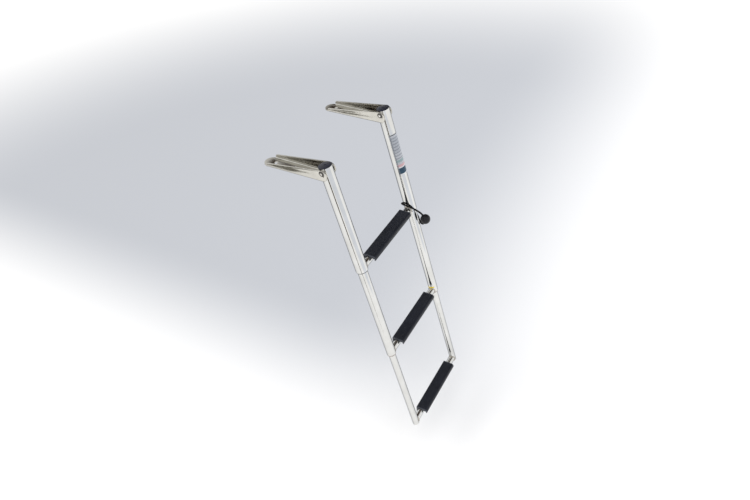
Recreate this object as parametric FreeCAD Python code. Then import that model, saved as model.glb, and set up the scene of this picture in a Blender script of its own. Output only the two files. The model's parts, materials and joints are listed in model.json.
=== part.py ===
import FreeCAD, Part
import math
import os

# Three-step telescoping boarding ladder that hangs from the edge of a swim platform.
# Millimetres. X points outboard, Y runs along the rungs (left rail at -Y), Z is up.
# The platform is the plane Z = 0 and the origin is the centre of its mounting holes.

os.makedirs("parts", exist_ok=True)
Vector = FreeCAD.Vector
Y_AXIS, Z_AXIS = Vector(0, 1, 0), Vector(0, 0, 1)
touch = 1e-6  # tolerance when an edge is picked by its place

# Stance
rail_spacing = 260.0  # between the rail centres
lean_angle = 12.0  # of the hanging rails, outboard, from plumb
pivot_height = 22.0  # above the platform

# Tubes: outer diameters and walls
upper_tube_diameter = 31.75
middle_tube_diameter = 25.4
lower_tube_diameter = 19.05
rung_diameter = 19.05
tube_wall = 1.25

# Distances down the rail from the pivot axis
step_count = 3
first_rung_drop = 280.5
rung_pitch = 289.0
tube_below_rung = 5.0  # of the upper and middle tubes
foot_tube_below_rung = 9.6
tube_above_pivot = 9.0

# Travel of the middle section into the upper one, where its tubes reach the top plugs
middle_travel = 230.0

# Fits
running_gap = 0.05  # radial, shaft in bush
slide_gap = 0.1  # radial, stop collar in tube
seat_gap = 0.02  # radial, pressed or clamped pieces
stop_gap = 0.3  # between faces that meet at a limit of travel

# Mounting brackets, bent from one sheet each
sheet = 2.5
bend_radius = 2.5  # inside
cheek_length_behind = 152.0  # behind the pivot
cheek_tail_height = 10.5
cheek_tail_radius = 4.0
cheek_nose_radius = 15.0  # half the cheek's full height
cheek_nose_behind_pivot = 2.7  # of the nose's centre
cheek_toe_lift = 1.0
mount_hole_count = 3  # in each bracket
mount_hole_diameter = 6.8
mount_countersink_depth = 1.4
front_hole_behind_pivot = 35.0
mount_row_length = 105.0  # first hole to last

# Pivot hardware
pivot_diameter = 8.0  # of the nut's barrel, which the sleeve turns on
pivot_head_diameter = 12.5
pivot_head_height = 3.0
bolt_diameter = 6.0
bolt_end_gap = 1.0  # to the end of the barrel's bore
socket_across_flats = 4.0
socket_depth = 1.8
washer_diameter = 14.0
washer_thickness = 1.0
sleeve_diameter = 11.0

# Plugs, bushes and collars
plug_head_thickness = 1.6
plug_dome_height = 1.2
plug_dimple_radius = 2.2
plug_dimple_depth = 0.8
upper_bush_length = 20.0
middle_bush_length = 18.0
upper_bush_flange = 2.0
middle_bush_flange = 4.0
bush_flange_inset = 0.6
upper_collar_length = 16.0
lower_collar_length = 14.0
rivet_diameter = 3.0
rivet_inset = 0.3
foot_insert_length = 12.0
foot_head_length = 2.0
foot_edge_radius = 1.2

# Treads, measured from the rung's centre
tread_length = 190.0
tread_inboard = 14.0
tread_outboard = 20.0
tread_wall = 3.0
tread_nose_radius = 7.0
tread_heel_radius = 2.5
nose_lip_below_top = 12.0
heel_below_top = 25.0
tread_web_count = 5
tread_web_thickness = 3.0
tread_web_depth = 9.5
tread_end_web_depth = 4.0
screw_spacing = 110.0
screw_diameter = 4.0
screw_clearance = 0.2
screw_head_diameter = 8.0
screw_head_height = 2.6
screw_bite = 2.6
screw_recess_width = 1.1
screw_recess_length = 4.6
screw_recess_depth = 1.2

# Film on the right upper tube and tape on the right middle tube
film_top_drop = 58.0
film_length = 114.0
film_centre_turn = -6.0
film_half_angle = 64.0
film_thickness = 0.12
tape_width = 4.0
tape_thickness = 0.2
tape_above_rung = 1.0
tape_half_angle = 52.0

# Elastic cord with a ball, round the right rail above the first rung
cord_diameter = 5.0
cord_arc_share = 0.45  # of the shorter run at a corner, taken up by its arc
ball_diameter = 27.0
ball_outboard, ball_across, ball_drop = 33.5, 4.0, 320.5
# Each point is outboard of the rail's centre, across from it, and down the rail
cord_route = [
    (30.4, 4.2, 312.9),
    (28.0, 3.0, 304.4),
    (24.0, -1.8, 294.0),
    (19.4, -9.4, 281.8),
    (13.2, -17.0, 269.6),
    (2.6, -20.6, 262.2),
    (-8.8, -18.4, 260.6),
    (-17.0, -10.8, 263.8),
    (-19.8, 1.4, 271.0),
    (-16.0, 12.8, 280.6),
    (-8.8, 18.4, 291.0),
    (-3.4, 18.0, 304.0),
    (1.2, 16.8, 316.0),
    (4.2, 17.0, 326.5),
    (5.6, 15.2, 338.6),
    (14.5, 10.5, 343.5),
    (23.5, 7.2, 338.8),
    (26.6, 5.8, 326.0),
]

# Derived places
half_spacing = rail_spacing / 2
rung_drops = [first_rung_drop + rung_pitch * step for step in range(step_count)]
upper_end_drop = rung_drops[0] + tube_below_rung
middle_end_drop = rung_drops[1] + tube_below_rung
lower_end_drop = rung_drops[2] + foot_tube_below_rung
upper_collar_end_drop = upper_end_drop - upper_bush_length - stop_gap
lower_collar_end_drop = middle_end_drop - middle_bush_length - stop_gap
middle_top_drop = upper_collar_end_drop - upper_collar_length
lower_top_drop = lower_collar_end_drop - lower_collar_length
plug_bottom_drop = middle_top_drop - middle_travel - stop_gap
upper_radius = upper_tube_diameter / 2
middle_radius = middle_tube_diameter / 2
lower_radius = lower_tube_diameter / 2
rung_radius = rung_diameter / 2
channel_half_width = upper_radius + stop_gap + washer_thickness
cheek_face = channel_half_width + sheet
pivot_x = front_hole_behind_pivot + mount_row_length / 2
nose_x = pivot_x - cheek_nose_behind_pivot
cheek_front = nose_x + cheek_nose_radius
cheek_height = 2 * cheek_nose_radius
lean = math.radians(lean_angle)
tread_top = rung_radius + tread_wall
rail_frame = FreeCAD.Placement(Vector(pivot_x, 0, pivot_height), FreeCAD.Rotation(Y_AXIS, -lean_angle))
sides = {"left": -1, "right": 1}
nodes = {}


def box(x_range, y_range, z_range):
    corner = Vector(x_range[0], y_range[0], z_range[0])
    size = [high - low for low, high in (x_range, y_range, z_range)]
    return Part.makeBox(*size, corner)


def rod(radius, start, end):
    """Solid cylinder between two points."""
    axis = end - start
    return Part.makeCylinder(radius, axis.Length, start, axis)


def ring(outer_radius, inner_radius, start, end):
    return rod(outer_radius, start, end).cut(rod(inner_radius, start, end))


def hexagon(across_flats, start, direction, height):
    """Hexagonal prism along Y from a start point."""
    corner_radius = across_flats / math.sqrt(3)
    corners = [
        start + Vector(corner_radius * math.cos(turn), 0, corner_radius * math.sin(turn))
        for turn in (math.radians(60 * step) for step in range(6))
    ]
    outline = Part.makePolygon(corners + corners[:1])
    return Part.Face(outline).extrude(Y_AXIS * direction * height)


def down_rail(drop, y=0.0, outboard=0.0):
    """Point in the rail's own frame, where Z points up the rail."""
    return Vector(outboard, y, -drop)


def round_rail(radius, turn, y, drop):
    """Point on a circle about a rail; turn 0 faces outboard and 90 faces +Y."""
    angle = math.radians(turn)
    return Vector(radius * math.cos(angle), y + radius * math.sin(angle), -drop)


def place_on_rail(shape):
    """Carry a shape from the rail's frame to the part's frame."""
    shape.Placement = rail_frame.multiply(shape.Placement)
    return shape


def rung_centre(step):
    return rail_frame.multVec(down_rail(rung_drops[step]))


def bracket_side_prism(y):
    """Side outline of the cheeks, as a prism across the whole bracket: round nose, sloping top."""
    x_back, radius = pivot_x - cheek_length_behind, cheek_nose_radius
    length, rise = nose_x - x_back, radius - cheek_tail_height
    slope = math.atan2(rise, length) + math.asin(radius / math.hypot(length, rise))
    tail, tail_top = Vector(x_back, y, 0), Vector(x_back, y, cheek_tail_height)
    nose_start = Vector(nose_x - radius * math.sin(slope), y, radius + radius * math.cos(slope))
    nose_end = Vector(nose_x, y, 0)
    outline = Part.Wire([
        Part.makeLine(nose_end, tail),
        Part.makeLine(tail, tail_top),
        Part.makeLine(tail_top, nose_start),
        Part.Arc(nose_start, Vector(cheek_front, y, radius), nose_end).toShape(),
    ])
    across = 2 * cheek_face
    prism = Part.Face(outline).extrude(Y_AXIS * across)
    corner = [edge for edge in prism.Edges if abs(edge.CenterOfMass.x - x_back) < touch
              and abs(edge.CenterOfMass.z - cheek_tail_height) < touch and edge.Length > across - touch]
    return prism.makeFillet(cheek_tail_radius, corner)


def bracket_channel(y):
    """U of bent sheet, open at the top, along the whole bracket."""
    x_range = (pivot_x - cheek_length_behind, cheek_front)
    outer = box(x_range, (y - cheek_face, y + cheek_face), (0, cheek_height))
    inner = box(x_range, (y - channel_half_width, y + channel_half_width), (sheet, cheek_height))
    outer = round_floor_edges(outer, 0, bend_radius + sheet)
    inner = round_floor_edges(inner, sheet, bend_radius)
    return outer.cut(inner)


def round_floor_edges(block, floor_z, radius):
    edges = [edge for edge in block.Edges if abs(edge.CenterOfMass.z - floor_z) < touch
             and abs(edge.tangentAt(edge.FirstParameter).x) > 1 - touch]
    return block.makeFillet(radius, edges)


def bracket_tongue(y):
    """Round tail of the floor plate, behind the cheeks."""
    x_start = pivot_x - cheek_length_behind
    radius = cheek_face - sheet
    disc = rod(radius, Vector(x_start, y, 0), Vector(x_start, y, sheet))
    keep = box((x_start - radius, x_start), (y - radius, y + radius), (0, sheet))
    return disc.common(keep)


def floor_front():
    """Front edge of the floor plate, which the hanging rail leans against."""
    drop_to_floor_top = pivot_height - sheet
    return pivot_x + drop_to_floor_top * math.tan(lean) - (upper_radius + stop_gap) / math.cos(lean)


def bracket(y):
    body = bracket_channel(y).common(bracket_side_prism(y - cheek_face))
    body = body.fuse(bracket_tongue(y)).removeSplitter()
    open_front = (floor_front(), cheek_front)
    between_cheeks = (y - channel_half_width, y + channel_half_width)
    body = body.cut(box(open_front, between_cheeks, (0, sheet + bend_radius)))
    body = body.cut(box(open_front, (y - cheek_face, y + cheek_face), (0, cheek_toe_lift)))
    pivot, reach = Vector(pivot_x, y, pivot_height), Y_AXIS * cheek_face
    body = body.cut(rod(pivot_diameter / 2 + slide_gap, pivot - reach, pivot + reach))
    for x in mount_hole_places():
        body = body.cut(rod(mount_hole_diameter / 2, Vector(x, y, 0), Vector(x, y, sheet)))
        sink = Part.makeCone(mount_hole_diameter / 2, mount_hole_diameter / 2 + mount_countersink_depth,
                             mount_countersink_depth, Vector(x, y, sheet - mount_countersink_depth))
        body = body.cut(sink)
    return body


def mount_hole_places():
    spacing = mount_row_length / (mount_hole_count - 1)
    return [spacing * place - mount_row_length / 2 for place in range(mount_hole_count)]


def low_head(face, outward):
    """Low domed head that stands on a face."""
    rim_radius = pivot_head_diameter / 2
    sphere_radius = (rim_radius ** 2 + pivot_head_height ** 2) / (2 * pivot_head_height)
    head = Part.makeSphere(sphere_radius, face + outward * (pivot_head_height - sphere_radius))
    return head.common(rod(rim_radius, face, face + outward * pivot_head_height))


def pivot_bolt(y, side):
    """Low-head bolt, put in from the outer side into the nut's barrel."""
    outward = Y_AXIS * side
    face = Vector(pivot_x, y, pivot_height) + outward * cheek_face
    tip = face - outward * (2 * cheek_face - bolt_end_gap)
    bolt = low_head(face, outward).fuse(rod(bolt_diameter / 2, face, tip)).removeSplitter()
    top = face + outward * (pivot_head_height - socket_depth)
    return bolt.cut(hexagon(socket_across_flats, top, side, socket_depth))


def barrel_nut(y, side):
    """Nut with a low head on the inner cheek and a barrel right through the bracket."""
    inward = Y_AXIS * -side
    face = Vector(pivot_x, y, pivot_height) + inward * cheek_face
    open_end = face - inward * (2 * cheek_face - stop_gap)
    nut = low_head(face, inward).fuse(rod(pivot_diameter / 2, face, open_end)).removeSplitter()
    return nut.cut(rod(bolt_diameter / 2 + seat_gap, open_end, face))


def thrust_washers(y):
    """Two nylon washers, one inside each cheek."""
    pair = []
    for side in (-1, 1):
        outer = Vector(pivot_x, y + side * channel_half_width, pivot_height)
        inner = outer - Y_AXIS * side * washer_thickness
        pair.append(ring(washer_diameter / 2, pivot_diameter / 2 + slide_gap, outer, inner))
    return Part.Compound(pair)


def pivot_sleeve(y):
    pivot, half = down_rail(0, y), Y_AXIS * upper_radius
    bore = pivot_diameter / 2 + running_gap
    return place_on_rail(ring(sleeve_diameter / 2, bore, pivot - half, pivot + half))


def tube(radius, top_drop, end_drop, y):
    return ring(radius, radius - tube_wall, down_rail(top_drop, y), down_rail(end_drop, y))


def sleeve_hole(y, radius):
    reach = Y_AXIS * (upper_radius + sheet)
    return rod(radius, down_rail(0, y) - reach, down_rail(0, y) + reach)


def upper_tube(y):
    body = tube(upper_radius, -tube_above_pivot, upper_end_drop, y)
    return place_on_rail(body.cut(sleeve_hole(y, sleeve_diameter / 2 + seat_gap)))


def top_plug(y):
    """Nylon plug that closes the tube and carries the pivot sleeve."""
    insert_radius = upper_radius - tube_wall - seat_gap
    insert = rod(insert_radius, down_rail(-tube_above_pivot, y), down_rail(plug_bottom_drop, y))
    rim_drop = -tube_above_pivot - plug_head_thickness
    head = rod(upper_radius, down_rail(-tube_above_pivot, y), down_rail(rim_drop, y))
    dome_radius = (upper_radius ** 2 + plug_dome_height ** 2) / (2 * plug_dome_height)
    crown = down_rail(rim_drop - plug_dome_height, y)
    dome = Part.makeSphere(dome_radius, crown - Z_AXIS * dome_radius)
    dome = dome.common(rod(upper_radius, down_rail(rim_drop, y), crown))
    body = insert.fuse([head, dome]).removeSplitter()
    body = body.cut(rod(plug_dimple_radius, crown, crown - Z_AXIS * plug_dimple_depth))
    return place_on_rail(body.cut(sleeve_hole(y, sleeve_diameter / 2 + seat_gap)))


def middle_tube(y):
    body = tube(middle_radius, middle_top_drop, middle_end_drop, y)
    return place_on_rail(body.cut(rivet_hole(y, middle_radius, middle_top_drop, upper_collar_length)))


def lower_tube(y):
    body = tube(lower_radius, lower_top_drop, lower_end_drop, y)
    return place_on_rail(body.cut(rivet_hole(y, lower_radius, lower_top_drop, lower_collar_length)))


def rivet_hole(y, tube_radius, collar_top_drop, collar_length):
    """Radial hole on the inboard side, through the tube's wall and its collar."""
    drop = collar_top_drop + collar_length / 2
    inner = down_rail(drop, y, -(tube_radius - tube_wall - slide_gap))
    return rod(rivet_diameter / 2 + seat_gap, inner, down_rail(drop, y, -(tube_radius + upper_radius)))


def guide_bush(y, outer_tube_radius, inner_tube_radius, end_drop, length, flange_thickness):
    """Flanged nylon bush in the lower end of a tube, which guides the next tube."""
    bore, outer = inner_tube_radius + running_gap, outer_tube_radius - tube_wall - seat_gap
    tube_end = down_rail(end_drop, y)
    body = ring(outer, bore, down_rail(end_drop - length, y), tube_end)
    flange_end = down_rail(end_drop + flange_thickness, y)
    flange = ring(outer_tube_radius - bush_flange_inset, bore, tube_end, flange_end)
    return place_on_rail(body.fuse(flange).removeSplitter())


def stop_collar(y, tube_radius, outer_tube_radius, top_drop, length):
    """Nylon collar round the top of a sliding tube, which stops on the bush below."""
    outer = outer_tube_radius - tube_wall - slide_gap
    body = ring(outer, tube_radius + seat_gap, down_rail(top_drop, y), down_rail(top_drop + length, y))
    return place_on_rail(body.cut(rivet_hole(y, tube_radius, top_drop, length)))


def collar_rivets(tube_radius, outer_tube_radius, top_drop, length):
    """One rivet through each collar, flush inside the sliding tube."""
    drop = top_drop + length / 2
    outer = outer_tube_radius - tube_wall - slide_gap - rivet_inset
    pair = []
    for side in (-1, 1):
        y = side * half_spacing
        start = down_rail(drop, y, -(tube_radius - tube_wall + rivet_inset))
        pair.append(rod(rivet_diameter / 2, start, down_rail(drop, y, -outer)))
    return place_on_rail(Part.Compound(pair))


def foot_plug(y):
    tube_end = down_rail(lower_end_drop, y)
    insert_top = down_rail(lower_end_drop - foot_insert_length, y)
    insert = rod(lower_radius - tube_wall - seat_gap, insert_top, tube_end)
    end_drop = lower_end_drop + foot_head_length
    head = rod(lower_radius, tube_end, down_rail(end_drop, y))
    rim = [edge for edge in head.Edges if abs(edge.CenterOfMass.z + end_drop) < touch]
    return place_on_rail(insert.fuse(head.makeFillet(foot_edge_radius, rim)).removeSplitter())


def rung(step, rail_radius):
    """Cross tube, coped to the rails it is welded to, with holes for the tread screws."""
    centre = rung_centre(step)
    reach = Y_AXIS * half_spacing
    body = ring(rung_radius, rung_radius - tube_wall, centre - reach, centre + reach)
    for side in (-1, 1):
        axis = down_rail(rung_drops[step], side * half_spacing)
        along_rail = Z_AXIS * rail_spacing
        body = body.cut(place_on_rail(rod(rail_radius, axis - along_rail, axis + along_rail)))
    for y in screw_places():
        middle = centre + Y_AXIS * y
        reach_up = Z_AXIS * rung_diameter
        body = body.cut(rod(screw_diameter / 2 + screw_clearance, middle - reach_up, middle + reach_up))
    return body


def screw_places():
    return [-screw_spacing / 2, screw_spacing / 2]


def tread_outline():
    """Section of a tread about the rung's centre: flat top, short nose lip, long heel leg."""
    inner_nose = tread_nose_radius - tread_wall
    top, under = tread_top, rung_radius
    heel_x, nose_x = -tread_inboard, tread_outboard
    heel_z, lip_z = top - heel_below_top, top - nose_lip_below_top
    turn = math.cos(math.radians(45))

    def arc(centre_x, centre_z, radius, start, middle, end):
        points = [Vector(centre_x + radius * x, 0, centre_z + radius * z) for x, z in (start, middle, end)]
        return Part.Arc(*points).toShape()

    def line(x1, z1, x2, z2):
        return Part.makeLine(Vector(x1, 0, z1), Vector(x2, 0, z2))

    heel_centre = (heel_x + tread_heel_radius, top - tread_heel_radius)
    nose_centre = (nose_x - tread_nose_radius, top - tread_nose_radius)
    edges = [
        line(heel_x, heel_z, heel_x, heel_centre[1]),
        arc(*heel_centre, tread_heel_radius, (-1, 0), (-turn, turn), (0, 1)),
        line(heel_centre[0], top, nose_centre[0], top),
        arc(*nose_centre, tread_nose_radius, (0, 1), (turn, turn), (1, 0)),
        line(nose_x, nose_centre[1], nose_x, lip_z),
        line(nose_x, lip_z, nose_x - tread_wall, lip_z),
        line(nose_x - tread_wall, lip_z, nose_x - tread_wall, nose_centre[1]),
        arc(*nose_centre, inner_nose, (1, 0), (turn, turn), (0, 1)),
        line(nose_centre[0], under, heel_x + tread_wall, under),
        line(heel_x + tread_wall, under, heel_x + tread_wall, heel_z),
        line(heel_x + tread_wall, heel_z, heel_x, heel_z),
    ]
    return Part.Face(Part.Wire(edges))


def tread(step):
    body = tread_outline()
    body.translate(Vector(0, -tread_length / 2, 0))
    body = body.extrude(Y_AXIS * tread_length)
    first, last = -tread_length / 2, tread_length / 2 - tread_web_thickness
    web_x = (-tread_inboard + tread_wall, tread_outboard - tread_wall)
    for place in range(tread_web_count):
        y = first + (last - first) * place / (tread_web_count - 1)
        depth = tread_end_web_depth if place in (0, tread_web_count - 1) else tread_web_depth
        body = body.fuse(box(web_x, (y, y + tread_web_thickness), (rung_radius - depth, rung_radius)))
    reach = Y_AXIS * tread_length
    body = body.cut(rod(rung_radius + seat_gap, -reach, reach)).removeSplitter()
    for y in screw_places():
        start, tip = Vector(0, y, 0), Vector(0, y, rung_radius + screw_bite)
        body = body.cut(rod(screw_diameter / 2 + seat_gap, start, tip))
    body.translate(rung_centre(step))
    return body


def tread_screws(step):
    """Two pan-head screws, put in from below through the rung."""
    pair, reach = [], Y_AXIS * screw_head_diameter
    cross = (screw_recess_width, screw_recess_length), (screw_recess_length, screw_recess_width)
    for y in screw_places():
        axis = Vector(0, y, 0)
        head_top = axis - Z_AXIS * (rung_radius - screw_head_height / 2)
        head_bottom = axis - Z_AXIS * (rung_radius + screw_head_height)
        head = rod(screw_head_diameter / 2, head_bottom, head_top)
        head = head.cut(rod(rung_radius + seat_gap, axis - reach, axis + reach))
        shank = rod(screw_diameter / 2, head_bottom, axis + Z_AXIS * (rung_radius + screw_bite))
        screw = head.fuse(shank).removeSplitter()
        for size_x, size_y in cross:
            recess = box((-size_x / 2, size_x / 2), (y - size_y / 2, y + size_y / 2),
                         (head_bottom.z, head_bottom.z + screw_recess_depth))
            screw = screw.cut(recess)
        screw.translate(rung_centre(step))
        pair.append(screw)
    return Part.Compound(pair)


def wrap(tube_radius, thickness, start_drop, length, middle_turn, half_angle):
    """Thin piece stuck on part of the right rail's round; turn 0 faces outboard, -90 the rung."""
    y = half_spacing
    start, end = down_rail(start_drop, y), down_rail(start_drop + length, y)
    body = ring(tube_radius + thickness, tube_radius + seat_gap, start, end)
    turns = (middle_turn - half_angle, middle_turn, middle_turn + half_angle)
    corners = [start] + [round_rail(2 * tube_radius, turn, y, start_drop) for turn in turns]
    sector = Part.Face(Part.makePolygon(corners + corners[:1])).extrude(end - start)
    return place_on_rail(body.common(sector))


def rail_film():
    """Thin printed film on the outboard side of the right upper tube."""
    return wrap(upper_radius, film_thickness, film_top_drop, film_length, film_centre_turn, film_half_angle)


def marker_tape():
    """Tape on the rung's side of the right middle tube, just above the rung."""
    start_drop = rung_drops[1] - rung_radius - tape_above_rung - tape_width
    return wrap(middle_radius, tape_thickness, start_drop, tape_width, -90, tape_half_angle)


def rail_point(place):
    outboard, across, drop = place
    return down_rail(drop, half_spacing + across, outboard)


def cord_path(points):
    """Straight runs joined by tangent arcs; prints the arcs' radii."""
    edges, radii, start = [], [], points[0]
    for before, corner, after in zip(points, points[1:], points[2:]):
        run_in, run_out = corner - before, after - corner
        turn = run_in.getAngle(run_out)
        set_back = cord_arc_share * min(run_in.Length, run_out.Length)
        radii.append(set_back / math.tan(turn / 2))
        run_in.normalize()
        run_out.normalize()
        arc_start, arc_end = corner - run_in * set_back, corner + run_out * set_back
        bisector = (run_out - run_in).normalize()
        bulge = radii[-1] * (1 / math.cos(turn / 2) - 1)
        edges.append(Part.makeLine(start, arc_start))
        edges.append(Part.Arc(arc_start, corner + bisector * bulge, arc_end).toShape())
        start = arc_end
    edges.append(Part.makeLine(start, points[-1]))
    print("cord radii", [round(radius, 1) for radius in radii])
    return Part.Wire(edges)


def bungee_cord():
    path = cord_path([rail_point(place) for place in cord_route])
    first = path.Edges[0]
    direction = first.tangentAt(first.FirstParameter)
    circle = Part.makeCircle(cord_diameter / 2, first.Vertexes[0].Point, direction)
    cord = path.makePipeShell([Part.Wire(circle)], True, True)
    volume_ratio = cord.Volume / (path.Length * math.pi * cord_diameter ** 2 / 4)
    print("cord length", round(path.Length, 1), "volume ratio", round(volume_ratio, 4))
    return place_on_rail(cord)


def bungee_ball():
    """Ball with a blind hole for each end of the cord."""
    centre = rail_point((ball_outboard, ball_across, ball_drop))
    ball = Part.makeSphere(ball_diameter / 2, centre)
    ends = [rail_point(place) for place in cord_route]
    for end, before in ((ends[0], ends[1]), (ends[-1], ends[-2])):
        outward = (before - end).normalize()
        ball = ball.cut(rod(cord_diameter / 2 + seat_gap, end, end + outward * ball_diameter))
    return place_on_rail(ball)


def build_nodes():
    upper_bush = (upper_radius, middle_radius, upper_end_drop, upper_bush_length, upper_bush_flange)
    middle_bush = (middle_radius, lower_radius, middle_end_drop, middle_bush_length, middle_bush_flange)
    middle_collar = (middle_radius, upper_radius, middle_top_drop, upper_collar_length)
    lower_collar = (lower_radius, middle_radius, lower_top_drop, lower_collar_length)
    for name, side in sides.items():
        y = side * half_spacing
        nodes[name + "_bracket"] = bracket(y)
        nodes[name + "_pivot_bolt"] = pivot_bolt(y, side)
        nodes[name + "_barrel_nut"] = barrel_nut(y, side)
        nodes[name + "_thrust_washers"] = thrust_washers(y)
        nodes[name + "_pivot_sleeve"] = pivot_sleeve(y)
        nodes[name + "_top_plug"] = top_plug(y)
        nodes[name + "_upper_tube"] = upper_tube(y)
        nodes[name + "_middle_tube"] = middle_tube(y)
        nodes[name + "_lower_tube"] = lower_tube(y)
        nodes[name + "_upper_bush"] = guide_bush(y, *upper_bush)
        nodes[name + "_middle_bush"] = guide_bush(y, *middle_bush)
        nodes[name + "_middle_collar"] = stop_collar(y, *middle_collar)
        nodes[name + "_lower_collar"] = stop_collar(y, *lower_collar)
        nodes[name + "_foot_plug"] = foot_plug(y)
    nodes["middle_collar_rivets"] = collar_rivets(*middle_collar)
    nodes["lower_collar_rivets"] = collar_rivets(*lower_collar)
    rail_radii = {"upper": upper_radius, "middle": middle_radius, "lower": lower_radius}
    for step, (name, rail_radius) in enumerate(rail_radii.items()):
        nodes[name + "_rung"] = rung(step, rail_radius)
        nodes[name + "_tread"] = tread(step)
        nodes[name + "_tread_screws"] = tread_screws(step)
    nodes["rail_film"] = rail_film()
    nodes["marker_tape"] = marker_tape()
    nodes["bungee_cord"] = bungee_cord()
    nodes["bungee_ball"] = bungee_ball()


build_nodes()
for name, shape in nodes.items():
    shape.exportStep("parts/" + name + ".step")
print(len(nodes), "nodes")
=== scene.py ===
import json
import math

import bmesh
import bpy
from mathutils import Matrix, Vector


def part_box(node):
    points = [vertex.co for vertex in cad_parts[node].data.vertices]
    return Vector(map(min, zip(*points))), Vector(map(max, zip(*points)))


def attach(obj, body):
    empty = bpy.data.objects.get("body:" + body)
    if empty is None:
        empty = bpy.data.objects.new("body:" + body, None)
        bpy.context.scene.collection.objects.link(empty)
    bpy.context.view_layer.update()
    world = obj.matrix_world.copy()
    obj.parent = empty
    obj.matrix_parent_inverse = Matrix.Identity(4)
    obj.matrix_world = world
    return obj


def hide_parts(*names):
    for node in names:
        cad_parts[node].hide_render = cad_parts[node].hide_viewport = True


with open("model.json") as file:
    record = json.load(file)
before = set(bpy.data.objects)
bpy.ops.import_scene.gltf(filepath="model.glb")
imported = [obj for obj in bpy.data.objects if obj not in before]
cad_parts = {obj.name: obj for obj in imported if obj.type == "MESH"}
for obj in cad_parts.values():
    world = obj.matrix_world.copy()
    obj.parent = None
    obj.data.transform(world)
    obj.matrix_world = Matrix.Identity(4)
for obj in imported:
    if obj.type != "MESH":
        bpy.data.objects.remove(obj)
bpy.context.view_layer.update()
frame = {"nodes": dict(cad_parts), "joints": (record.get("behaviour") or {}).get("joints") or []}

# Telescoping boarding ladder, hung over the edge of a swim platform.
# Metres. X points outboard, Y runs along the rungs, Z is up, and the platform is the plane Z = 0.

mm = 0.001
joints = {joint["name"]: joint for joint in frame["joints"]}
pivot = Vector(joints["fold"]["pos_m"])
upRail = Vector(joints["middle_slide"]["axis"])
lean = math.atan2(-upRail.x, upRail.z)  # of the rails from plumb, outboard at the foot
outOfRail = Vector((math.cos(lean), 0, math.sin(lean)))
railTurn = Matrix.Rotation(-lean, 3, "Y")
railAcross = 130 * mm  # from the ladder's middle to the centre of a rail
brackets, upperSection = "brackets", "upper_section"
sections = {"upper": upperSection, "middle": "middle_section", "lower": "lower_section"}
bothSides = ("left_", "right_")
print("frame loaded:", len(frame["nodes"]), "nodes")


# Point given from the pivot, in the leaning frame of the rails
def railPoint(outboard, across, drop):
    return pivot + railTurn @ Vector((outboard, across, -drop))


def addObject(name, data):
    item = bpy.data.objects.new(name, data)
    bpy.context.scene.collection.objects.link(item)
    return item


# Turns a piece's evaluated shape into its own plain mesh
def finishMesh(piece):
    graph = bpy.context.evaluated_depsgraph_get()
    mesh = bpy.data.meshes.new_from_object(piece.evaluated_get(graph))
    piece.modifiers.clear()
    piece.data = mesh
    mesh.name = piece.name
    return mesh


# Camera, above the near outboard corner and looking down past both rails, with its angles in degrees
camera = {"lens": 31.54, "place": (0.8188, -1.0731, 0.8365), "turn": 33.65, "down": 41.80, "roll": 6.32,
          "nearFar": (0.02, 60)}
cameraData = bpy.data.cameras.new("camera")
cameraData.lens = camera["lens"]
cameraData.clip_start, cameraData.clip_end = camera["nearFar"]
cameraObject = addObject("camera", cameraData)
cameraTurn = (
    Matrix.Rotation(math.radians(camera["turn"]), 4, "Z")
    @ Matrix.Rotation(math.radians(90 - camera["down"]), 4, "X")
    @ Matrix.Rotation(math.radians(-camera["roll"]), 4, "Z")
)
cameraObject.matrix_world = Matrix.Translation(camera["place"]) @ cameraTurn
bpy.context.scene.camera = cameraObject
print("camera placed")

# Elastic cord: out of the ball, round the right rail above the first rung, and back to the ball.
# Each point is outboard of the rail's centre, across from it, and down the rail.
cord = {
    "diameter": 5 * mm,
    "length": 213.3 * mm,
    "sides": 12,
    "stepsPerPoint": 16,
    "route": [
        (0.0304, 0.0042, 0.3129),
        (0.0280, 0.0030, 0.3044),
        (0.0240, -0.0018, 0.2940),
        (0.0194, -0.0094, 0.2818),
        (0.0132, -0.0170, 0.2696),
        (0.0026, -0.0206, 0.2622),
        (-0.0088, -0.0184, 0.2606),
        (-0.0170, -0.0108, 0.2638),
        (-0.0198, 0.0014, 0.2710),
        (-0.0160, 0.0128, 0.2806),
        (-0.0088, 0.0184, 0.2910),
        (-0.0034, 0.0180, 0.3040),
        (0.0012, 0.0168, 0.3160),
        (0.0042, 0.0170, 0.3265),
        (0.0056, 0.0152, 0.3386),
        (0.0145, 0.0105, 0.3435),
        (0.0235, 0.0072, 0.3388),
        (0.0266, 0.0058, 0.3260),
    ],
}


def makeCordPath():
    data = bpy.data.curves.new("cordPath", "CURVE")
    data.dimensions = "3D"
    data.resolution_u = cord["stepsPerPoint"]
    spline = data.splines.new("NURBS")
    spline.points.add(len(cord["route"]) - 1)
    for point, (outboard, across, drop) in zip(spline.points, cord["route"]):
        point.co = (*railPoint(outboard, railAcross + across, drop), 1)
    spline.order_u = 3
    spline.use_endpoint_u = True
    carrier = addObject("cordPath", data)
    graph = bpy.context.evaluated_depsgraph_get()
    line = bpy.data.meshes.new_from_object(carrier.evaluated_get(graph))
    points = [vertex.co.copy() for vertex in line.vertices]
    bpy.data.objects.remove(carrier)
    return points


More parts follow.
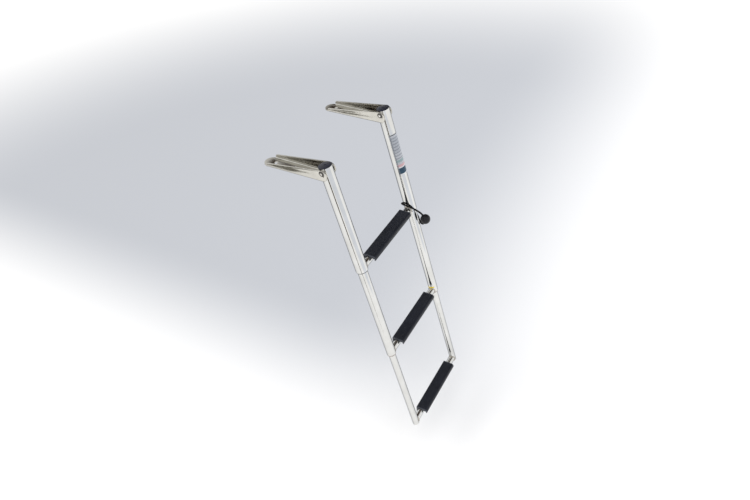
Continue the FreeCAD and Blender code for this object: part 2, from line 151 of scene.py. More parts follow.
# Round tube along the path, with the length along U and the way round along V
def makeSheath(path):
    sides, radius = cord["sides"], cord["diameter"] / 2
    neighbours = zip(path[:1] + path, path[1:] + path[-1:])
    tangents = [(after - before).normalized() for before, after in neighbours]
    normal = tangents[0].orthogonal().normalized()
    turns = [2 * math.pi * side / sides for side in range(sides)]
    rings, lengths = [], [0.0]
    for point, tangent in zip(path, tangents):
        normal = (normal - tangent * normal.dot(tangent)).normalized()
        binormal = tangent.cross(normal)
        spokes = [math.cos(turn) * normal + math.sin(turn) * binormal for turn in turns]
        rings.append([point + radius * spoke for spoke in spokes])
    for before, after in zip(path, path[1:]):
        lengths.append(lengths[-1] + (after - before).length)
    work = bmesh.new()
    layer = work.loops.layers.uv.new("UVMap")
    verts = [[work.verts.new(place) for place in ring] for ring in rings]
    for row in range(len(path) - 1):
        for side in range(sides):
            corners = ((row, side), (row, side + 1), (row + 1, side + 1), (row + 1, side))
            face = work.faces.new([verts[along][around % sides] for along, around in corners])
            for loop, (along, around) in zip(face.loops, corners):
                loop[layer].uv = (lengths[along] / lengths[-1], around / sides)
    work.faces.new(verts[0][::-1])
    work.faces.new(verts[-1])
    bmesh.ops.recalc_face_normals(work, faces=work.faces)
    mesh = bpy.data.meshes.new("bungeeSheath")
    work.to_mesh(mesh)
    work.free()
    mesh.shade_smooth()
    return addObject("bungeeSheath", mesh)


cordPath = makeCordPath()
bungee = makeSheath(cordPath)
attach(bungee, upperSection)
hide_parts("bungee_cord")
print("elastic cord laid")


# sRGB hex to the linear colour that a shader takes
def linear(hexColour):
    channels = [int(hexColour[start:start + 2], 16) / 255 for start in (1, 3, 5)]
    return (*[c / 12.92 if c <= 0.04045 else ((c + 0.055) / 1.055) ** 2.4 for c in channels], 1)


# One node: its settings by name, its inputs by name or place (a value, or a node or an output to link),
# and for a colour ramp its stops as (place, sRGB hex)
def addNode(tree, kind, inputs=(), stops=(), **settings):
    node = tree.nodes.new(kind)
    for name, value in settings.items():
        setattr(node, name, value)
    for socket, value in dict(inputs).items():
        source = value.outputs[0] if isinstance(value, bpy.types.Node) else value
        if isinstance(source, bpy.types.NodeSocket):
            tree.links.new(source, node.inputs[socket])
        else:
            node.inputs[socket].default_value = source
    if stops:
        marks = node.color_ramp.elements
        while len(marks) < len(stops):
            marks.new(1)
        for mark, (place, colour) in zip(marks, stops):
            mark.position = place
            mark.color = linear(colour)
    return node


# New material with its empty tree
def newMaterial(name):
    material = bpy.data.materials.new(name)
    material.use_nodes = True
    material.node_tree.nodes.clear()
    return material, material.node_tree


# Stainless steel, polished: lines of the polishing wheel and faint cloudiness, and where the finish says so
# painted shade round the pivot axis. lineTurn turns Object coordinates so that Z runs along the lines.
def steelMaterial(name, finish, lineTurn):
    toneSpan, roughSpan = (0.3, 0.7), (0.35, 0.7)  # of the cloud noise, from the first value to the second
    material, tree = newMaterial(name)
    place = addNode(tree, "ShaderNodeTexCoord").outputs["Object"]
    turned = addNode(tree, "ShaderNodeMapping", {0: place, "Rotation": lineTurn}, vector_type="TEXTURE")
    across, along = 1 / finish["lineWidth"], 1 / finish["lineLength"]
    stretched = addNode(tree, "ShaderNodeMapping", {0: turned, "Scale": (across, across, along)})
    lines = addNode(tree, "ShaderNodeTexNoise", {"Vector": stretched, "Scale": 1.0, "Detail": 2.0})
    cloud = addNode(tree, "ShaderNodeTexNoise", {"Vector": place, "Scale": 1 / finish["cloudSize"],
                                                 "Detail": 3.0})
    rough = addNode(tree, "ShaderNodeMapRange", dict(enumerate((cloud, *roughSpan, *finish["roughness"]))))
    colour = addNode(tree, "ShaderNodeValToRGB", {0: cloud}, list(zip(toneSpan, finish["colours"])))
    # Painted shade: the colour darkens towards the pivot axis, over the radii that the finish gives
    if "paintedShadeColour" in finish:
        fromPivot = addNode(tree, "ShaderNodeVectorMath", {0: place, 1: pivot}, operation="SUBTRACT")
        sideways = addNode(tree, "ShaderNodeVectorMath", {0: fromPivot, 1: (1, 0, 1)}, operation="MULTIPLY")
        radius = addNode(tree, "ShaderNodeVectorMath", {0: sideways}, operation="LENGTH").outputs["Value"]
        paintedShade = addNode(tree, "ShaderNodeMapRange", {0: radius, 1: finish["paintedShadeFrom"],
                                                    2: finish["paintedShadeFull"], 4: finish["paintedShadeShare"]})
        colour = addNode(tree, "ShaderNodeMixRGB", {0: paintedShade, 1: colour, 2: linear(finish["paintedShadeColour"])})
    bump = addNode(tree, "ShaderNodeBump", {"Height": lines, "Strength": finish["lineStrength"],
                                            "Distance": finish["lineDepth"]})
    surface = addNode(tree, "ShaderNodeBsdfPrincipled", {
        "Metallic": 1.0, "Specular Tint": linear(finish["edgeTint"]), "Base Color": colour,
        "Roughness": rough, "Normal": bump})
    addNode(tree, "ShaderNodeOutputMaterial", {"Surface": surface})
    return material


# 316 stainless tube, drawn and then buffed bright: a near mirror with faint lines along the tube.
# Wheel lines on all the steel are too fine to show, so they are drawn as coarse as they need to.
tubeFinish = {
    "colours": ("#d0d0cd", "#dbdbd9"),
    "edgeTint": "#94969b",
    "roughness": (0.05, 0.11),
    "lineWidth": 0.5 * mm,
    "lineLength": 40 * mm,
    "lineStrength": 0.25,
    "lineDepth": 0.02 * mm,
    "cloudSize": 35 * mm,
}
# Bracket sheet, pressed and then polished: the same metal, softer, with wheel lines along the cheeks
sheetFinish = {
    "colours": ("#c1bfb8", "#d0cec7"),
    "edgeTint": "#9a9894",
    "roughness": (0.12, 0.21),
    "lineWidth": 0.6 * mm,
    "lineLength": 25 * mm,
    "lineStrength": 0.4,
    "lineDepth": 0.02 * mm,
    "cloudSize": 18 * mm,
    "paintedShadeColour": "#4a4540",  # painted shade: a dark ring on the cheeks just round the pivot bolt heads
    "paintedShadeFrom": 7.4 * mm,
    "paintedShadeFull": 6.4 * mm,
    "paintedShadeShare": 0.85,
}
# Fasteners, turned and tumbled bright
fastenerFinish = {
    "colours": ("#c2bfba", "#d6d3ce"),
    "edgeTint": "#45464a",
    "roughness": (0.06, 0.12),
    "lineWidth": 0.4 * mm,
    "lineLength": 3 * mm,
    "lineStrength": 0.3,
    "lineDepth": 0.02 * mm,
    "cloudSize": 5 * mm,
}
# Pivot bolts and their nuts: the same, made brighter as a painted highlight on the crown, and with painted
# shade darkening the rim
boltFinish = {
    **fastenerFinish,
    "colours": ("#d8d6d2", "#e6e4e0"),
    # painted shade on the rim of each head and nut
    "paintedShadeColour": "#2b2825",
    "paintedShadeFrom": 2.6 * mm,
    "paintedShadeFull": 3.6 * mm,
    "paintedShadeShare": 0.9,
}
# Weld bead, laid by TIG and brushed clean: duller than the tube, with a faint straw tint
weldFinish = {
    "colours": ("#b1a99d", "#c6c0b6"),
    "edgeTint": "#9a9894",
    "roughness": (0.26, 0.4),
    "lineWidth": 0.5 * mm,
    "lineLength": 1 * mm,
    "lineStrength": 0.4,
    "lineDepth": 0.03 * mm,
    "cloudSize": 3 * mm,
}
alongRail = (0, -lean, 0)
alongRung = (math.radians(90), 0, 0)
alongSheet = (0, math.radians(90), 0)
steelRail = steelMaterial("stainlessTubeBuffedAlongRail", tubeFinish, alongRail)
steelRung = steelMaterial("stainlessTubeBuffedAlongRung", tubeFinish, alongRung)
steelSheet = steelMaterial("stainlessSheetPressedPolished", sheetFinish, alongSheet)
steelFastener = steelMaterial("stainlessFastenerTumbled", fastenerFinish, alongRung)
steelBolt = steelMaterial("stainlessBoltHeadPaintedHighlightAndShade", boltFinish, alongRung)
steelWeld = steelMaterial("stainlessWeldBrushed", weldFinish, alongRail)


# Moulded plastic: grain of a spark-eroded mould and slight shade differences from handling, and where
# the plastic says so a painted sheen, paler in patches, at both ends. Real grain is too fine to show, so it
# is drawn as coarse as it needs to.
def plasticMaterial(name, plastic):
    toneSpan, roughSpan = (0.32, 0.68), (0.35, 0.65)  # of the cloud noise, from the first value to the second
    material, tree = newMaterial(name)
    place = addNode(tree, "ShaderNodeTexCoord").outputs["Object"]
    grain = addNode(tree, "ShaderNodeTexNoise", {"Vector": place, "Scale": 1 / plastic["grain"],
                                                 "Detail": 2.0})
    cloud = addNode(tree, "ShaderNodeTexNoise", {"Vector": place, "Scale": 1 / plastic["cloudSize"],
                                                 "Detail": 2.0})
    colour = addNode(tree, "ShaderNodeValToRGB", {0: cloud}, list(zip(toneSpan, plastic["colours"])))
    rough = addNode(tree, "ShaderNodeMapRange", dict(enumerate((cloud, *roughSpan, *plastic["roughness"]))))
    bump = addNode(tree, "ShaderNodeBump", {"Height": grain, "Strength": plastic["grainStrength"],
                                            "Distance": plastic["grainDepth"]})
    # Painted sheen: the colour turns paler towards both ends, in patches
    if "paintedSheenColour" in plastic:
        across = addNode(tree, "ShaderNodeSeparateXYZ", {0: place}).outputs["Y"]
        fromMiddle = addNode(tree, "ShaderNodeMath", {0: across}, operation="ABSOLUTE")
        share = addNode(tree, "ShaderNodeMapRange", {0: fromMiddle, 1: plastic["paintedSheenFrom"],
                                                    2: plastic["paintedSheenFull"]})
        patches = addNode(tree, "ShaderNodeMath", {0: cloud, 1: plastic["paintedSheenEvenness"]}, operation="ADD")
        paintedSheen = addNode(tree, "ShaderNodeMath", {0: share, 1: patches}, operation="MULTIPLY")
        colour = addNode(tree, "ShaderNodeMixRGB", {0: paintedSheen, 1: colour, 2: linear(plastic["paintedSheenColour"])})
    surface = addNode(tree, "ShaderNodeBsdfPrincipled", {
        "IOR": plastic["ior"], "Specular IOR Level": plastic["gloss"], "Base Color": colour,
        "Roughness": rough, "Normal": bump})
    addNode(tree, "ShaderNodeOutputMaterial", {"Surface": surface})
    return material


# UV-stable polypropylene, injection moulded with a fine leather grain: near black with a bluish sheen
treadPlastic = plasticMaterial("polypropyleneMouldedGrained", {
    "colours": ("#13161e", "#191c25"), "ior": 1.49, "gloss": 0.3, "roughness": (0.42, 0.52),
    "grain": 1.1 * mm, "grainStrength": 0.5, "grainDepth": 0.15 * mm, "cloudSize": 30 * mm,
    "paintedSheenColour": "#454850", "paintedSheenFrom": 91.5 * mm, "paintedSheenFull": 94 * mm,  # painted sheen, paler towards both ends
    "paintedSheenEvenness": 0.4})
# Glass-filled nylon, moulded: dark navy with a dull sheen
darkNylon = plasticMaterial("nylonGlassFilledMoulded", {
    "colours": ("#10131f", "#181c2b"), "ior": 1.53, "gloss": 0.28, "roughness": (0.36, 0.46),
    "grain": 0.6 * mm, "grainStrength": 0.25, "grainDepth": 0.06 * mm, "cloudSize": 9 * mm})
# Natural nylon, moulded or turned: milky white
whiteNylon = plasticMaterial("nylonNaturalTurned", {
    "colours": ("#dddbd6", "#e8e6e1"), "ior": 1.53, "gloss": 0.5, "roughness": (0.34, 0.46),
    "grain": 0.7 * mm, "grainStrength": 0.2, "grainDepth": 0.05 * mm, "cloudSize": 10 * mm})
# The same nylon, greyer and with a faint pink tint: the grey is painted shade for the gap at the upper tube's
# end
paintedShadeNylon = plasticMaterial("nylonNaturalPaintedShade", {
    "colours": ("#aea5a1", "#c2bab5"), "ior": 1.53, "gloss": 0.4, "roughness": (0.4, 0.5),
    "grain": 0.7 * mm, "grainStrength": 0.2, "grainDepth": 0.05 * mm, "cloudSize": 10 * mm})
# Hard rubber ball, moulded: black with a soft grey bloom
ballRubber = plasticMaterial("ballRubberMoulded", {
    "colours": ("#0b0b10", "#13131a"), "ior": 1.52, "gloss": 0.3, "roughness": (0.36, 0.5),
    "grain": 0.8 * mm, "grainStrength": 0.35, "grainDepth": 0.08 * mm, "cloudSize": 8 * mm})
print("metal and plastic finishes made")


# Braided polyester over rubber strands: dull black with the braid's diagonal ribs, which are too fine
# to show and so are drawn as coarse as they need to
sheath = {"braidPitch": 2.2 * mm, "strands": 8, "depth": 0.2 * mm, "strength": 0.7,
          "tones": [(0.55, "#050506"), (1.0, "#111113")], "roughness": 0.85, "ior": 1.4, "gloss": 0.3}


def wovenSheathMaterial():
    material, tree = newMaterial("polyesterBraidWoven")
    uv = addNode(tree, "ShaderNodeTexCoord").outputs["UV"]
    parts = addNode(tree, "ShaderNodeSeparateXYZ", {0: uv}).outputs
    pitches = cord["length"] / sheath["braidPitch"]
    along = addNode(tree, "ShaderNodeMath", {0: parts["X"], 1: pitches}, operation="MULTIPLY")
    around = addNode(tree, "ShaderNodeMath", {0: parts["Y"], 1: sheath["strands"]}, operation="MULTIPLY")
    waves = []
    for operation in ("ADD", "SUBTRACT"):
        phase = addNode(tree, "ShaderNodeMath", {0: along, 1: around}, operation=operation)
        turned = addNode(tree, "ShaderNodeMath", {0: phase, 1: math.pi}, operation="MULTIPLY")
        wave = addNode(tree, "ShaderNodeMath", {0: turned}, operation="SINE")
        waves.append(addNode(tree, "ShaderNodeMath", {0: wave}, operation="ABSOLUTE"))
    braid = addNode(tree, "ShaderNodeMath", {0: waves[0], 1: waves[1]}, operation="MAXIMUM")
    # painted shade: the grooves of the braid are darker
    colour = addNode(tree, "ShaderNodeValToRGB", {0: braid}, sheath["tones"])
    bump = addNode(tree, "ShaderNodeBump", {"Height": braid, "Strength": sheath["strength"],
                                            "Distance": sheath["depth"]})
    surface = addNode(tree, "ShaderNodeBsdfPrincipled", {
        "Roughness": sheath["roughness"], "IOR": sheath["ior"], "Specular IOR Level": sheath["gloss"],
        "Base Color": colour, "Normal": bump})
    addNode(tree, "ShaderNodeOutputMaterial", {"Surface": surface})
    return material


# Printed polyester film: silver-grey with plain bands and ruled lines across it, and a dark margin line
film = {
    "top": 58 * mm,  # down the rail from the pivot
    "length": 114 * mm,
    "ruledPitch": 8.2 * mm,
    "ruledShare": 0.3,  # of a pitch that is inked
    "ruledFrom": 0.08,  # as a share of the film's length from its top
    "ruledTo": 0.62,
    "marginTurn": math.radians(-58),  # round the rail from straight outboard
    "lineColour": "#6f757f",
    "lineStrength": 0.7,
    # Share of the film's length from its top, and the colour that starts there
    "bands": [(0.0, "#5d6167"), (0.022, "#b6b9c0"), (0.06, "#a6abb3"), (0.42, "#b2b6bd"), (0.62, "#8fa3a6"),
              (0.68, "#b3b5bc"), (0.74, "#c8a4a9"), (0.8, "#d6d7da"), (0.825, "#1d4056"), (0.975, "#dfe1e3")],
    "roughness": 0.34,
    "ior": 1.57,
    "gloss": 0.3,
}


def filmMaterial():
    material, tree = newMaterial("polyesterFilmPrinted")
    place = addNode(tree, "ShaderNodeTexCoord").outputs["Object"]
    filmTop = railPoint(0, railAcross, film["top"])
    fromTop = addNode(tree, "ShaderNodeVectorMath", {0: place, 1: filmTop}, operation="SUBTRACT")
    drop, outward = [addNode(tree, "ShaderNodeVectorMath", {0: fromTop, 1: direction},
                             operation="DOT_PRODUCT").outputs["Value"] for direction in (-upRail, outOfRail)]
    across = addNode(tree, "ShaderNodeSeparateXYZ", {0: fromTop}).outputs["Y"]
    share = addNode(tree, "ShaderNodeMath", {0: drop, 1: film["length"]}, operation="DIVIDE")
    printed = addNode(tree, "ShaderNodeValToRGB", {0: share}, film["bands"])
    printed.color_ramp.interpolation = "CONSTANT"
    pitches = addNode(tree, "ShaderNodeMath", {0: drop, 1: film["ruledPitch"]}, operation="DIVIDE")
    partOfPitch = addNode(tree, "ShaderNodeMath", {0: pitches}, operation="FRACT")
    ruled = addNode(tree, "ShaderNodeMath", {0: partOfPitch, 1: film["ruledShare"]}, operation="LESS_THAN")
    below = addNode(tree, "ShaderNodeMath", {0: share, 1: film["ruledFrom"]}, operation="GREATER_THAN")
    above = addNode(tree, "ShaderNodeMath", {0: share, 1: film["ruledTo"]}, operation="LESS_THAN")
    ruledHere = addNode(tree, "ShaderNodeMath", {0: below, 1: above}, operation="MULTIPLY")
    ruledLines = addNode(tree, "ShaderNodeMath", {0: ruled, 1: ruledHere}, operation="MULTIPLY")
    turn = addNode(tree, "ShaderNodeMath", {0: across, 1: outward}, operation="ARCTAN2")
    margin = addNode(tree, "ShaderNodeMath", {0: turn, 1: film["marginTurn"]}, operation="LESS_THAN")
    lines = addNode(tree, "ShaderNodeMath", {0: margin, 1: ruledLines}, operation="MAXIMUM")
    faint = addNode(tree, "ShaderNodeMath", {0: lines, 1: film["lineStrength"]}, operation="MULTIPLY")
    inked = addNode(tree, "ShaderNodeMixRGB", {0: faint, 1: printed, 2: linear(film["lineColour"])})
    surface = addNode(tree, "ShaderNodeBsdfPrincipled", {
        "Roughness": film["roughness"], "IOR": film["ior"], "Specular IOR Level": film["gloss"],
        "Base Color": inked})
    addNode(tree, "ShaderNodeOutputMaterial", {"Surface": surface})
    return material


# Vinyl marker tape: strong yellow, glossy, a little creased
tape = {"creaseSize": 3 * mm, "creaseStrength": 0.4, "creaseDepth": 0.1 * mm,
        "tones": [(0.3, "#e6c800"), (0.7, "#ffe500")], "roughness": 0.32, "ior": 1.53}


def tapeMaterial():
    material, tree = newMaterial("vinylTapeCalendered")
    place = addNode(tree, "ShaderNodeTexCoord").outputs["Object"]
    crease = addNode(tree, "ShaderNodeTexNoise", {"Vector": place, "Scale": 1 / tape["creaseSize"],
                                                  "Detail": 3.0})
    # painted shade: darker yellow in the dips of the creases
    colour = addNode(tree, "ShaderNodeValToRGB", {0: crease}, tape["tones"])
    bump = addNode(tree, "ShaderNodeBump", {"Height": crease, "Strength": tape["creaseStrength"],
                                            "Distance": tape["creaseDepth"]})
    surface = addNode(tree, "ShaderNodeBsdfPrincipled", {
        "Roughness": tape["roughness"], "IOR": tape["ior"], "Base Color": colour, "Normal": bump})
    addNode(tree, "ShaderNodeOutputMaterial", {"Surface": surface})
    return material


bungee.data.materials.append(wovenSheathMaterial())
filmPrinted, tapeYellow = filmMaterial(), tapeMaterial()
print("cord, film and tape finishes made")


def dress(nodeNames, material):
    for name in nodeNames:
        for materialSlot in frame["nodes"][name].material_slots:
            materialSlot.material = material


for side in bothSides:
    dress([side + part for part in ("upper_tube", "middle_tube", "lower_tube")], steelRail)
    dress([side + part for part in ("pivot_bolt", "barrel_nut")], steelBolt)
    dress([side + "pivot_sleeve"], steelFastener)
    dress([side + part for part in ("top_plug", "upper_bush")], darkNylon)
    dress([side + part for part in ("foot_plug", "middle_collar", "lower_collar", "thrust_washers")],
          whiteNylon)
    dress([side + "middle_bush"], paintedShadeNylon)
for step in sections:
    dress([step + "_rung"], steelRung)
    dress([step + "_tread_screws"], steelFastener)
dress(["middle_collar_rivets", "lower_collar_rivets"], steelFastener)
dress(["rail_film"], filmPrinted)
dress(["marker_tape"], tapeYellow)
dress(["bungee_ball"], ballRubber)
print("frame dressed")

# Edges as a file leaves them on sheet and a mould on plastic
sheetEdge = {"width": 0.35 * mm, "segments": 2}
treadEdge = {"width": 0.8 * mm, "segments": 3}
softening = {"mergeWithin": 0.001 * mm, "flatWithin": math.radians(0.4), "edgeFrom": math.radians(40)}


# Copy of a CAD node with its sharp edges broken
def softenedCopy(node, name, body, material, edge):
    mesh = frame["nodes"][node].data.copy()
    mesh.name = name
    alongAxes = zip(*[vertex.co for vertex in mesh.vertices])
    reach = [(min(values), max(values)) for values in alongAxes]
    work = bmesh.new()
    work.from_mesh(mesh)
    bmesh.ops.remove_doubles(work, verts=work.verts, dist=softening["mergeWithin"])
    bmesh.ops.dissolve_limit(work, angle_limit=softening["flatWithin"], verts=work.verts, edges=work.edges)
    work.to_mesh(mesh)
    work.free()
    piece = addObject(name, mesh)
    bevel = piece.modifiers.new("edge", "BEVEL")
    bevel.width = edge["width"]
    bevel.segments = edge["segments"]
    bevel.limit_method = "ANGLE"
    bevel.angle_limit = softening["edgeFrom"]
    bevel.use_clamp_overlap = False
    finished = finishMesh(piece)
    for vertex in finished.vertices:  # nothing stands proud of the part it copies
        vertex.co = [min(max(value, low), high) for value, (low, high) in zip(vertex.co, reach)]
    finished.materials.clear()
    finished.materials.append(material)
    for face in finished.polygons:
        face.material_index = 0
    finished.shade_smooth()
    finished.set_sharp_from_angle(angle=softening["edgeFrom"])
    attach(piece, body)
    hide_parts(node)


for side in bothSides:
    softenedCopy(side + "bracket", side + "bracketSheet", brackets, steelSheet, sheetEdge)
for step, body in sections.items():
    softenedCopy(step + "_tread", step + "TreadMoulding", body, treadPlastic, treadEdge)
print("bracket and tread edges softened")


# New tree for one modifier, with its named inputs as (name, socket type)
def newShapeTree(name, inputs):
    tree = bpy.data.node_groups.new(name, "GeometryNodeTree")
    tree.interface.new_socket("Geometry", in_out="OUTPUT", socket_type="NodeSocketGeometry")
    for label, kind in inputs:
        tree.interface.new_socket(label, in_out="INPUT", socket_type="NodeSocket" + kind)
    return tree, addNode(tree, "NodeGroupInput").outputs


# Mesh made by a tree from values for its named inputs, as one plain piece
def growPiece(name, tree, values, body):
    piece = addObject(name, bpy.data.meshes.new(name))
    modifier = piece.modifiers.new("shape", "NODES")
    modifier.node_group = tree
    sockets = {item.name: item.identifier for item in tree.interface.items_tree if item.in_out == "INPUT"}
    for label, value in values.items():
        modifier[sockets[label]] = value
    finishMesh(piece)
    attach(piece, body)
    return piece


# Weld beads where a rung meets its two rails: a rippled round bead along the line where the tubes cross
weld = {"beadRadius": 1.3 * mm, "standOff": 0.3 * mm, "ripplePitch": 2.4 * mm,
        "rippleHeight": 0.14,  # as a share of the bead's radius
        "ringPoints": 144, "beadSides": 8}


def makeWeldTree():
    inputs = [("Rail radius", "Float"), ("Rung radius", "Float"), ("Half spacing", "Float"),
              ("Bead radius", "Float"), ("Ripples", "Float"), ("Place", "Vector"), ("Turn", "Rotation")]
    tree, given = newShapeTree("weldBeads", inputs)
    rail, rung = given["Rail radius"], given["Rung radius"]
    ringLine = addNode(tree, "GeometryNodeCurvePrimitiveCircle", {"Resolution": weld["ringPoints"],
                                                                  "Radius": 1.0})
    unit = addNode(tree, "ShaderNodeSeparateXYZ", {0: addNode(tree, "GeometryNodeInputPosition")}).outputs
    outboard = addNode(tree, "ShaderNodeMath", {0: unit["X"], 1: rung}, operation="MULTIPLY")
    up = addNode(tree, "ShaderNodeMath", {0: unit["Y"], 1: rung}, operation="MULTIPLY")
    railSquare = addNode(tree, "ShaderNodeMath", {0: rail, 1: rail}, operation="MULTIPLY")
    outboardSquare = addNode(tree, "ShaderNodeMath", {0: outboard, 1: outboard}, operation="MULTIPLY")
    depthSquare = addNode(tree, "ShaderNodeMath", {0: railSquare, 1: outboardSquare}, operation="SUBTRACT")
    depth = addNode(tree, "ShaderNodeMath", {0: depthSquare}, operation="SQRT")
    across = addNode(tree, "ShaderNodeMath", {0: given["Half spacing"], 1: depth}, operation="SUBTRACT")
    along = addNode(tree, "GeometryNodeSplineParameter").outputs["Factor"]
    ripples = addNode(tree, "ShaderNodeMath", {0: along, 1: given["Ripples"]}, operation="MULTIPLY")
    phase = addNode(tree, "ShaderNodeMath", {0: ripples, 1: 2 * math.pi}, operation="MULTIPLY")
    wave = addNode(tree, "ShaderNodeMath", {0: phase}, operation="SINE")
    swelling = addNode(tree, "ShaderNodeMath", {0: wave, 1: weld["rippleHeight"], 2: 1.0},
                       operation="MULTIPLY_ADD")
    profile = addNode(tree, "GeometryNodeCurvePrimitiveCircle", {"Resolution": weld["beadSides"],
                                                                 "Radius": given["Bead radius"]})
    beads = addNode(tree, "GeometryNodeJoinGeometry")
    for side in (-1, 1):
        sideways = addNode(tree, "ShaderNodeMath", {0: across, 1: side}, operation="MULTIPLY")
        place = addNode(tree, "ShaderNodeCombineXYZ", {0: outboard, 1: sideways, 2: up})
        line = addNode(tree, "GeometryNodeSetPosition", {"Geometry": ringLine, "Position": place})
        swollen = addNode(tree, "GeometryNodeSetCurveRadius", {"Curve": line, "Radius": swelling})
        bead = addNode(tree, "GeometryNodeCurveToMesh", {"Curve": swollen, "Profile Curve": profile})
        tree.links.new(bead.outputs[0], beads.inputs[0])
    moved = addNode(tree, "GeometryNodeTransform", {"Geometry": beads, "Translation": given["Place"],
                                                    "Rotation": given["Turn"]})
    real = addNode(tree, "GeometryNodeRealizeInstances", {0: moved})
    smooth = addNode(tree, "GeometryNodeSetShadeSmooth", {"Geometry": real})
    dressed = addNode(tree, "GeometryNodeSetMaterial", {"Geometry": smooth, "Material": steelWeld})
    addNode(tree, "NodeGroupOutput", {0: dressed})
    return tree


weldTree = makeWeldTree()
for step, body in sections.items():
    rungLow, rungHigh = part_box(step + "_rung")
    tubeLow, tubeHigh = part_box("left_" + step + "_tube")
    rungRadius = (rungHigh.z - rungLow.z) / 2 + weld["standOff"]
    railRadius = (tubeHigh.y - tubeLow.y) / 2 + weld["standOff"]
    middle = (rungLow + rungHigh) / 2
    growPiece(step + "WeldBeads", weldTree, {
        "Rail radius": max(railRadius, rungRadius + weld["standOff"]),
        "Rung radius": rungRadius,
        "Half spacing": railAcross,
        "Bead radius": weld["beadRadius"],
        "Ripples": float(round(2 * math.pi * rungRadius / weld["ripplePitch"])),
        "Place": (middle.x, 0.0, middle.z),
        "Turn": (0.0, -lean, 0.0),
    }, body)

# Grip ribs on a tread: low round bars side by side along the top
rib = {"count": 9, "pitch": 2.7 * mm, "fromHeel": 4.2 * mm, "halfWidth": 0.75 * mm, "height": 0.3 * mm,
       "endInset": 3 * mm, "sides": 16}


def makeRibTree():
    inputs = [("Count", "Int"), ("Start", "Vector"), ("Step", "Vector"), ("Size", "Vector")]
    tree, given = newShapeTree("gripRibs", inputs)
    places = addNode(tree, "GeometryNodeMeshLine", {"Count": given["Count"], "Start Location": given["Start"],
                                                    "Offset": given["Step"]})
    bar = addNode(tree, "GeometryNodeMeshCylinder", {"Vertices": rib["sides"], "Radius": 1.0, "Depth": 1.0})
    ribs = addNode(tree, "GeometryNodeInstanceOnPoints", {"Points": places, "Instance": bar,
                                                          "Rotation": alongRung, "Scale": given["Size"]})
    real = addNode(tree, "GeometryNodeRealizeInstances", {0: ribs})
    dressed = addNode(tree, "GeometryNodeSetMaterial", {"Geometry": real, "Material": treadPlastic})
    addNode(tree, "NodeGroupOutput", {0: dressed})
    return tree


ribTree = makeRibTree()
for step, body in sections.items():
    treadLow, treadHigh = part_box(step + "_tread")
    ribs = growPiece(step + "TreadRibs", ribTree, {
        "Count": rib["count"],
        "Start": (treadLow.x + rib["fromHeel"], 0.0, treadHigh.z),
        "Step": (rib["pitch"], 0.0, 0.0),
        "Size": (rib["halfWidth"], rib["height"], treadHigh.y - treadLow.y - 2 * rib["endInset"]),
    }, body)
    ribs.data.shade_smooth()
    ribs.data.set_sharp_from_angle(angle=softening["edgeFrom"])
print("weld beads and grip ribs grown")


# Flat card of the studio. One that isn't seen shows only in the polished steel.
def addCard(name, corners, material, seen):
    mesh = bpy.data.meshes.new(name)
    mesh.from_pydata(corners, [], [tuple(range(len(corners)))])
    mesh.materials.append(material)
    card = addObject(name, mesh)
    card.visible_camera = seen
    card.visible_diffuse = seen
    card.visible_shadow = seen


# Matt paint or cloth without any gloss
mattSurface = {"Roughness": 1.0, "Specular IOR Level": 0.0}
# Wide pale floor well below the hanging ladder, with a painted shadow behind it as a hull standing there
# would cast
stage = {
    "floorHeight": -1.0,
    "floorSize": 16.0,
    "floorRoughness": 0.9,
    "shadeColour": "#bdc0c6",
    "floorColour": "#fefefe",
    "shadeAlong": (0.98, -0.37),  # where the shade begins and is full, along X
    "shadeAcross": (-0.38, 0.31),  # the same along Y
    "shadeFades": (4.6, 2.4),  # the same inwards from far away
    "shadeFrom": 0.04,  # fainter shade than this is left out
    "feltAbove": 5 * mm,
}


def makeFloor():
    material, tree = newMaterial("floorPaintedMatt")
    place = addNode(tree, "ShaderNodeTexCoord").outputs["Object"]
    apart = addNode(tree, "ShaderNodeSeparateXYZ", {0: place}).outputs
    away = addNode(tree, "ShaderNodeVectorMath", {0: place}, operation="LENGTH").outputs["Value"]
    spans = [(apart["X"], stage["shadeAlong"]), (apart["Y"], stage["shadeAcross"]),
             (away, stage["shadeFades"])]
    along, across, near = [addNode(tree, "ShaderNodeMapRange", {0: distance, 1: begins, 2: full},
                                   interpolation_type="SMOOTHSTEP") for distance, (begins, full) in spans]
    inReach = addNode(tree, "ShaderNodeMath", {0: across, 1: near}, operation="MULTIPLY")
    depth = addNode(tree, "ShaderNodeMath", {0: along, 1: inReach}, operation="MULTIPLY")
    share = addNode(tree, "ShaderNodeMapRange", {0: depth, 1: stage["shadeFrom"]})
    # painted shadow: the floor turns to the shade colour behind the ladder
    tone = addNode(tree, "ShaderNodeMixRGB", {0: share, 1: linear(stage["floorColour"]),
                                              2: linear(stage["shadeColour"])})
    surface = addNode(tree, "ShaderNodeBsdfPrincipled", {
        **mattSurface, "Roughness": stage["floorRoughness"], "Base Color": tone})
    addNode(tree, "ShaderNodeOutputMaterial", {"Surface": surface})
    half, height = stage["floorSize"] / 2, stage["floorHeight"]
    corners = [(-half, -half), (half, -half), (half, half), (-half, half)]
    addCard("floor", [(x, y, height) for x, y in corners], material, True)


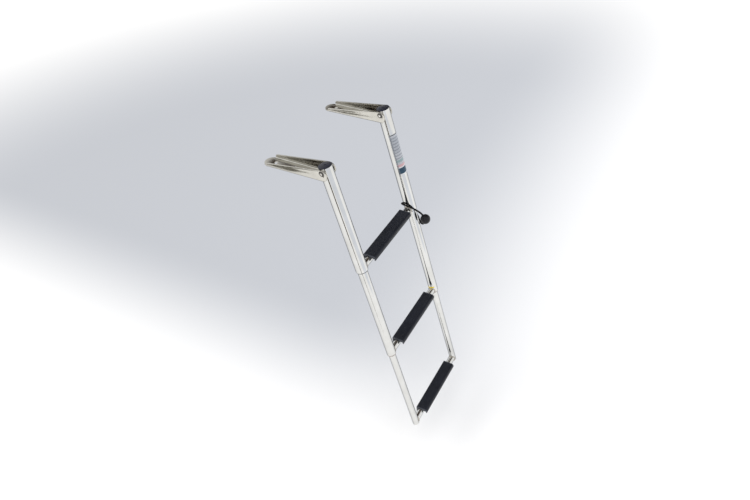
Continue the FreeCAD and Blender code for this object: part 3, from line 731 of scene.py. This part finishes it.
# Felts on the floor for the polished steel to show; seen only in reflections, they are painted reflections.
# The strip draws a thin line down the rails, the cloth dims their outboard side a little near the top, and
# the sheet shades the inboard end of the bracket cheeks.
felts = {
    "feltStrip": {"colour": "#554e46",
                  "corners": [(0.60, -0.72), (0.57, -1.0), (0.63, -1.4), (0.62, -1.7), (0.66, -2.8),
                              (1.6, -2.8), (1.06, -1.7), (0.84, -1.4), (0.66, -1.0)]},
    "feltCloth": {"colour": "#e2e6ee", "corners": [(1.75, -2.6), (4.2, -2.6), (4.2, 0.9), (1.5, 0.55)]},
    "feltSheet": {"colour": "#77756e", "corners": [(-2.0, -2.2), (-0.98, -2.2), (-0.98, -0.9), (-2.0, -0.9)]},
}


def makeFelt(name, felt):
    material, tree = newMaterial(name + "PaintedReflection")
    surface = addNode(tree, "ShaderNodeBsdfPrincipled", {**mattSurface, "Base Color": linear(felt["colour"])})
    addNode(tree, "ShaderNodeOutputMaterial", {"Surface": surface})
    height = stage["floorHeight"] + stage["feltAbove"]
    addCard(name, [(x, y, height) for x, y in felt["corners"]], material, False)


# Dark flag hung up behind the ladder, seen only in reflections: a painted reflection on the upward faces of
# the steel, thinning out towards its rim
flag = {
    "way": Vector((-0.02, 0.72, 0.69)).normalized(),
    "aim": Vector((0.1, 0, -0.4)),
    "distance": 3.0,
    "solidRadius": 1.6,
    "rimRadius": 3.4,
    "sides": 48,
    "colour": "#4d433c",
}


def makeFlag():
    centre = flag["aim"] + flag["distance"] * flag["way"]
    material, tree = newMaterial("flagPaintedReflection")
    place = addNode(tree, "ShaderNodeTexCoord").outputs["Object"]
    away = addNode(tree, "ShaderNodeVectorMath", {0: place, 1: centre}, operation="DISTANCE").outputs["Value"]
    cover = addNode(tree, "ShaderNodeMapRange", {0: away, 1: flag["rimRadius"], 2: flag["solidRadius"]},
                    interpolation_type="SMOOTHSTEP")
    surface = addNode(tree, "ShaderNodeBsdfPrincipled", {
        **mattSurface, "Base Color": linear(flag["colour"]), "Alpha": cover})
    addNode(tree, "ShaderNodeOutputMaterial", {"Surface": surface})
    sideWay = flag["way"].orthogonal().normalized()
    upWay = flag["way"].cross(sideWay)
    turns = [2 * math.pi * side / flag["sides"] for side in range(flag["sides"])]
    spokes = [math.cos(turn) * sideWay + math.sin(turn) * upWay for turn in turns]
    rim = [centre + flag["rimRadius"] * spoke for spoke in spokes]
    addCard("flag", rim, material, False)


makeFloor()
for name, felt in felts.items():
    makeFelt(name, felt)
makeFlag()
print("floor and cards set up")

# White backdrop for the camera and in the steel, and a dimmer even light on everything
sky = {"colour": "#ffffff", "shownStrength": 1.0, "lightStrength": 0.66}


def makeWorld():
    world = bpy.data.worlds.new("studio")
    bpy.context.scene.world = world
    world.use_nodes = True
    tree = world.node_tree
    tree.nodes.clear()
    ray = addNode(tree, "ShaderNodeLightPath").outputs
    direct = addNode(tree, "ShaderNodeMath", {0: ray["Is Camera Ray"], 1: ray["Is Glossy Ray"]},
                     operation="MAXIMUM")
    shown = addNode(tree, "ShaderNodeMath", {0: direct, 1: ray["Is Transmission Ray"]}, operation="MAXIMUM")
    strength = addNode(tree, "ShaderNodeMapRange", {0: shown, 3: sky["lightStrength"],
                                                    4: sky["shownStrength"]})
    light = addNode(tree, "ShaderNodeBackground", {0: linear(sky["colour"]), 1: strength})
    addNode(tree, "ShaderNodeOutputWorld", {0: light})


# Soft roof light over the near side, and a cool softbox from the far outboard side
lamps = {
    "diffusedRoof": {"kind": "SUN", "place": (-0.6, -0.8, 2.6), "aim": (0.1, 0, -0.5), "power": 1.55,
                     "colour": "#fffdfa", "settings": {"angle": math.radians(55)}},
    "softboxFar": {"kind": "AREA", "place": (1.8, 1.6, 1.9), "aim": (0.1, 0, -0.4), "power": 18,
                   "colour": "#eef3ff", "settings": {"shape": "RECTANGLE", "size": 1.6, "size_y": 1.6}},
}


def makeLamp(name, lamp):
    data = bpy.data.lights.new(name, lamp["kind"])
    data.energy = lamp["power"]
    data.color = linear(lamp["colour"])[:3]
    for label, value in lamp["settings"].items():
        setattr(data, label, value)
    item = addObject(name, data)
    item.location = lamp["place"]
    item.rotation_euler = (Vector(lamp["aim"]) - Vector(lamp["place"])).to_track_quat("-Z", "Y").to_euler()
    item.visible_glossy = False  # the steel shows the cards and the backdrop instead


makeWorld()
for name, lamp in lamps.items():
    makeLamp(name, lamp)
bpy.context.scene.view_settings.view_transform = "Standard"
print("stage lit")
